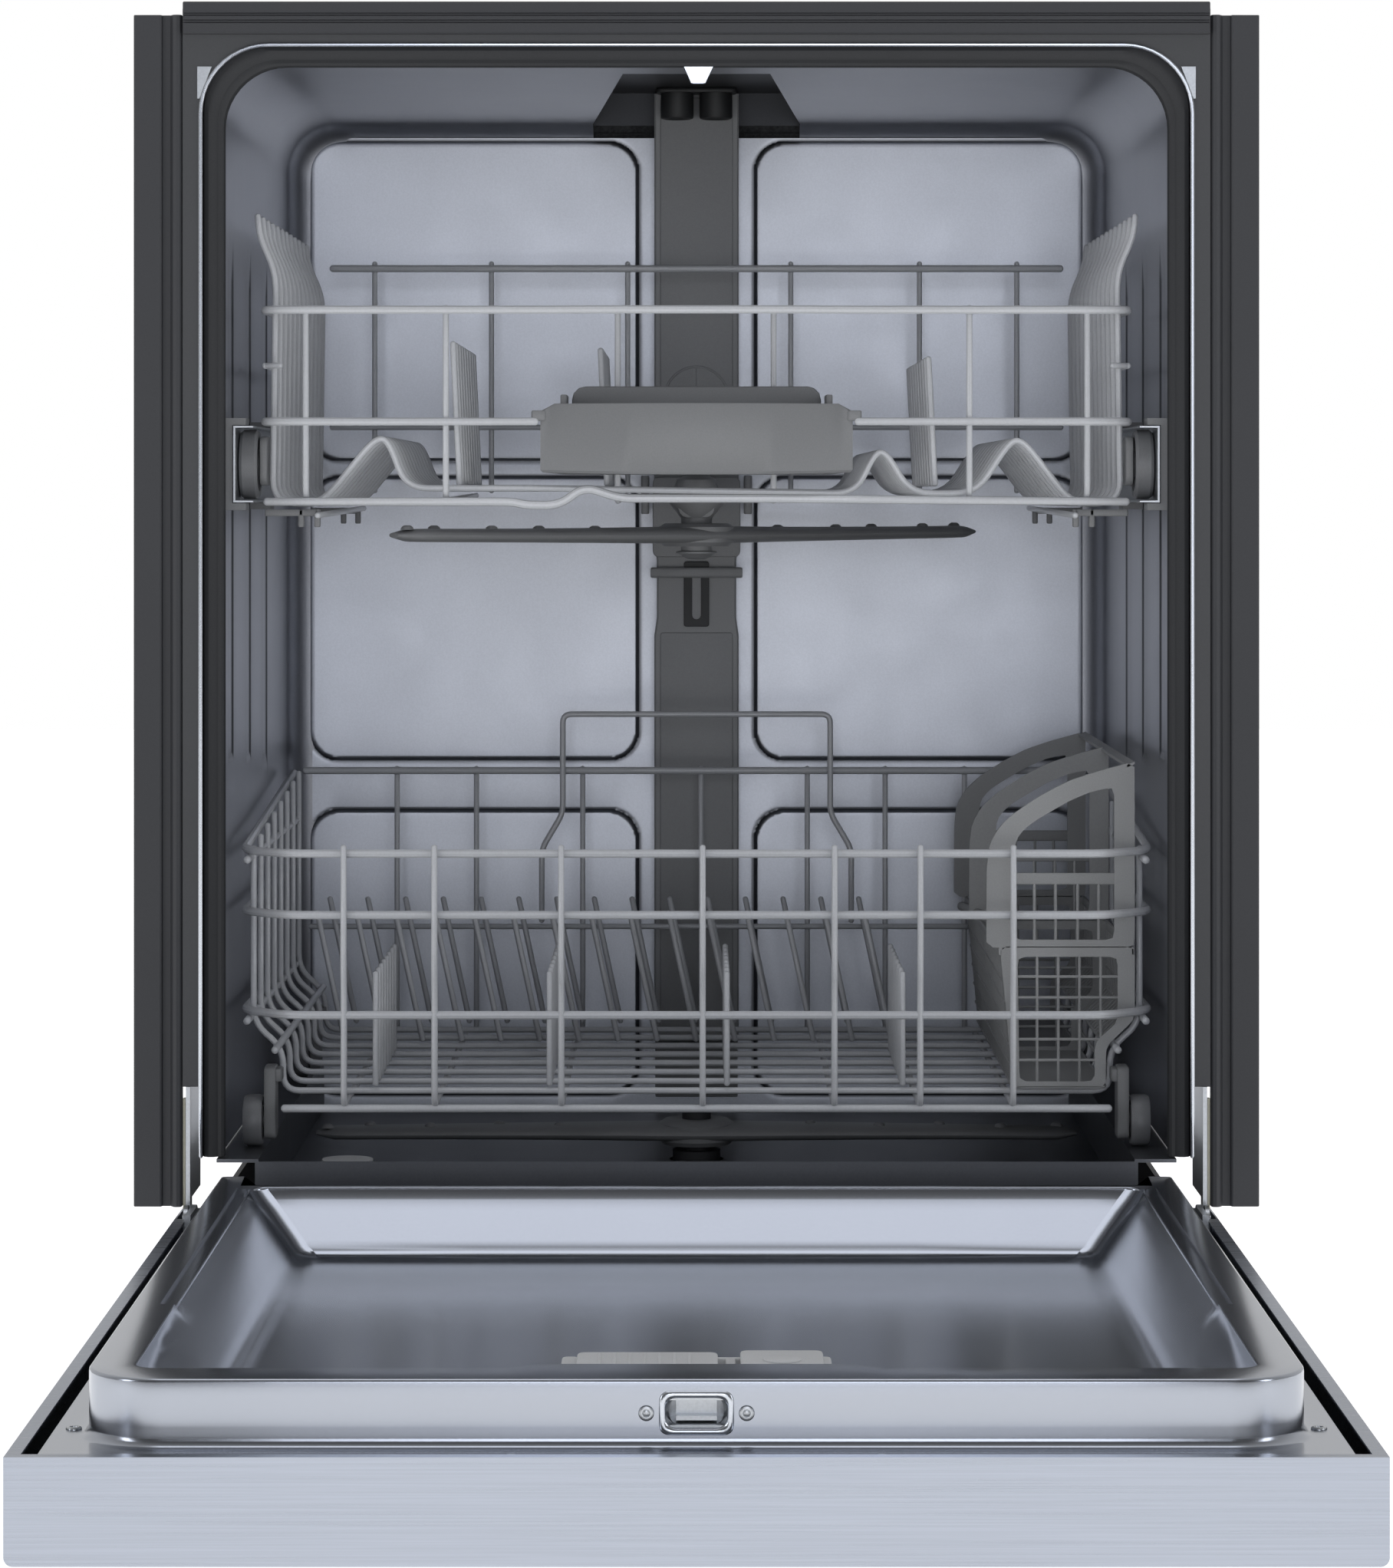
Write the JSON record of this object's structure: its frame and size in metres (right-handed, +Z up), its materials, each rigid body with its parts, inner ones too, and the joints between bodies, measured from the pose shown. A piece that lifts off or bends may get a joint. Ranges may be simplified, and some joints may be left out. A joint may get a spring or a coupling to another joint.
{
  "type": "built-in dishwasher",
  "caption": "Built-in dishwasher with a drop-down steel door, stainless tub, sliding wire racks, spray arms, dispenser, pump, filter and levelling feet.",
  "frame": {"origin": "on the floor, half way along the bounding box with the door lowered", "axes": "+X to the right of a person facing the door, +Y from the door into the tub, +Z up"},
  "size_m": [0.6512, 1.25, 0.86],
  "materials": {
    "tub_steel": "satin",
    "door_steel": "brushed",
    "liner_steel": "bright",
    "seal_rubber": "matt",
    "dark_plastic": "matt",
    "base_plastic": "matt",
    "grey_plastic": "fine texture",
    "conduit_plastic": "fine texture",
    "basket_plastic": "fine texture",
    "dispenser_plastic": "satin",
    "rack_coating": "satin nylon coating",
    "zinc_steel": "zinc plated",
    "cream_plastic": "satin",
    "insulation_felt": "felt",
    "display_glass": "polished",
    "button_plastic": "gloss"
  },
  "bodies": {
    "cabinet": {"tub_shell": "tub_steel", "tub_floor": "tub_steel", "door_gasket": "seal_rubber", "front_frame": "dark_plastic", "top_trim": "dark_plastic", "side_seals": "seal_rubber", "insulation_blanket": "insulation_felt", "counter_brackets": "zinc_steel", "base_pan": "base_plastic", "toe_panel": "dark_plastic", "sump": "base_plastic", "filter_plate": "tub_steel", "circulation_pump": "base_plastic", "drain_pump": "base_plastic", "inlet_valve": "grey_plastic", "junction_box": "zinc_steel", "water_conduit": "conduit_plastic", "top_shower": "conduit_plastic", "door_striker": "zinc_steel", "hinge_plates": "zinc_steel", "balance_gear": "cream_plastic", "rail_guides": "zinc_steel"},
    "door": {"door_panel": "door_steel", "door_liner": "liner_steel", "door_insulation": "insulation_felt", "control_fascia": "door_steel", "display_window": "display_glass", "latch_body": "zinc_steel", "door_screws": "zinc_steel", "dispenser_body": "dispenser_plastic", "hinge_arms": "zinc_steel"},
    "upper_rack": {"upper_rack_wires": "rack_coating", "upper_rack_tines": "rack_coating", "upper_rack_handle": "grey_plastic", "roller_brackets": "grey_plastic", "upper_feed_tube": "conduit_plastic"},
    "lower_rack": {"lower_rack_wires": "rack_coating", "lower_rack_tines": "rack_coating", "wheel_brackets": "grey_plastic"},
    "power_button": {"power_button": "button_plastic"},
    "program_button": {"program_button": "button_plastic"},
    "start_button": {"start_button": "button_plastic"},
    "latch_catch": {"latch_catch": "zinc_steel"},
    "dispenser_lid": {"dispenser_lid": "dispenser_plastic"},
    "rinse_aid_lid": {"rinse_aid_lid": "dispenser_plastic"},
    "upper_spray_arm": {"upper_spray_arm": "conduit_plastic"},
    "upper_front_wheels": {"upper_front_wheels": "grey_plastic"},
    "upper_rear_wheels": {"upper_rear_wheels": "grey_plastic"},
    "slide_rails": {"slide_rails": "tub_steel"},
    "lower_front_wheels": {"lower_front_wheels": "grey_plastic"},
    "lower_rear_wheels": {"lower_rear_wheels": "grey_plastic"},
    "silverware_basket": {"silverware_basket": "basket_plastic"},
    "lower_spray_arm": {"lower_spray_arm": "conduit_plastic"},
    "overfill_float": {"overfill_float": "grey_plastic"},
    "filter_cylinder": {"filter_cylinder": "grey_plastic"},
    "pump_impeller": {"pump_impeller": "grey_plastic"},
    "front_foot_left": {"front_foot_left": "base_plastic"},
    "front_foot_right": {"front_foot_right": "base_plastic"},
    "rear_foot": {"rear_foot": "base_plastic"}
  },
  "joints": [
    {"name": "door_hinge", "type": "hinge", "parent": "cabinet", "child": "door", "pos_m": [0, 0.069, 0.157], "axis": [-1, 0, 0], "range_deg": [0, 90]},
    {"name": "upper_rack_slide", "type": "slide", "parent": "cabinet", "child": "upper_rack", "axis": [0, 1, 0], "range_m": [-0.42, 0]},
    {"name": "lower_rack_slide", "type": "slide", "parent": "cabinet", "child": "lower_rack", "axis": [0, 1, 0], "range_m": [-0.45, 0]},
    {"name": "upper_arm_spin", "type": "hinge", "parent": "upper_rack", "child": "upper_spray_arm", "pos_m": [0, 0.301, 0.55], "axis": [0, 0, 1], "continuous": true},
    {"name": "lower_arm_spin", "type": "hinge", "parent": "cabinet", "child": "lower_spray_arm", "pos_m": [0, 0.319, 0.1755], "axis": [0, 0, 1], "continuous": true},
    {"name": "basket_lift", "type": "slide", "parent": "lower_rack", "child": "silverware_basket", "axis": [0, 0, 1], "range_m": [0, 0.1]},
    {"name": "rinse_aid_lid_hinge", "type": "hinge", "parent": "door", "child": "rinse_aid_lid", "pos_m": [0.04, -0.431, 0.169], "axis": [-1, 0, 0], "range_deg": [0, 100]},
    {"name": "dispenser_lid_slide", "type": "slide", "parent": "door", "child": "dispenser_lid", "axis": [0, 1, 0], "range_m": [0, 0.048]},
    {"name": "latch_catch_slide", "type": "slide", "parent": "door", "child": "latch_catch", "axis": [0, 1, 0], "range_m": [0, 0.005], "stiffness_N_per_m": 400},
    {"name": "power_button_press", "type": "slide", "parent": "door", "child": "power_button", "axis": [0, 0, 1], "range_m": [0, 0.0015], "stiffness_N_per_m": 300},
    {"name": "program_button_press", "type": "slide", "parent": "door", "child": "program_button", "axis": [0, 0, 1], "range_m": [0, 0.0015], "stiffness_N_per_m": 300},
    {"name": "start_button_press", "type": "slide", "parent": "door", "child": "start_button", "axis": [0, 0, 1], "range_m": [0, 0.0015], "stiffness_N_per_m": 300},
    {"name": "filter_twist", "type": "hinge", "parent": "cabinet", "child": "filter_cylinder", "pos_m": [0, 0.221, 0.12], "axis": [0, 0, 1], "range_deg": [0, 90]},
    {"name": "float_rise", "type": "slide", "parent": "cabinet", "child": "overfill_float", "axis": [0, 0, 1], "range_m": [0, 0.006]},
    {"name": "impeller_spin", "type": "hinge", "parent": "cabinet", "child": "pump_impeller", "pos_m": [0.15, 0.305, 0.096], "axis": [1, 0, 0], "continuous": true},
    {"name": "front_foot_left_screw", "type": "slide", "parent": "cabinet", "child": "front_foot_left", "axis": [0, 0, -1], "range_m": [0, 0.03]},
    {"name": "front_foot_right_screw", "type": "slide", "parent": "cabinet", "child": "front_foot_right", "axis": [0, 0, -1], "range_m": [0, 0.03]},
    {"name": "rear_foot_screw", "type": "slide", "parent": "cabinet", "child": "rear_foot", "axis": [0, 0, -1], "range_m": [0, 0.03]},
    {"name": "slide_rail_travel", "type": "slide", "parent": "cabinet", "child": "slide_rails", "axis": [0, 1, 0], "range_m": [-0.211, 0]},
    {"name": "upper_front_wheel_roll", "type": "hinge", "parent": "upper_rack", "child": "upper_front_wheels", "pos_m": [0, 0.137, 0.593], "axis": [1, 0, 0], "range_deg": [0, 600]},
    {"name": "upper_rear_wheel_roll", "type": "hinge", "parent": "upper_rack", "child": "upper_rear_wheels", "pos_m": [0, 0.475, 0.593], "axis": [1, 0, 0], "range_deg": [0, 600]},
    {"name": "lower_front_wheel_roll", "type": "hinge", "parent": "lower_rack", "child": "lower_front_wheels", "pos_m": [0, 0.133, 0.2067], "axis": [1, 0, 0], "range_deg": [0, 1740]},
    {"name": "lower_rear_wheel_roll", "type": "hinge", "parent": "lower_rack", "child": "lower_rear_wheels", "pos_m": [0, 0.467, 0.2067], "axis": [1, 0, 0], "range_deg": [0, 1740]}
  ],
  "couplings": [
    {"joint": "slide_rail_travel", "follows": "upper_rack_slide", "ratio": 0.5},
    {"joint": "upper_front_wheel_roll", "follows": "upper_rack_slide", "rad_per_m": -24.39},
    {"joint": "upper_rear_wheel_roll", "follows": "upper_rack_slide", "rad_per_m": -24.39},
    {"joint": "lower_front_wheel_roll", "follows": "lower_rack_slide", "rad_per_m": -66.667},
    {"joint": "lower_rear_wheel_roll", "follows": "lower_rack_slide", "rad_per_m": -66.667}
  ]
}
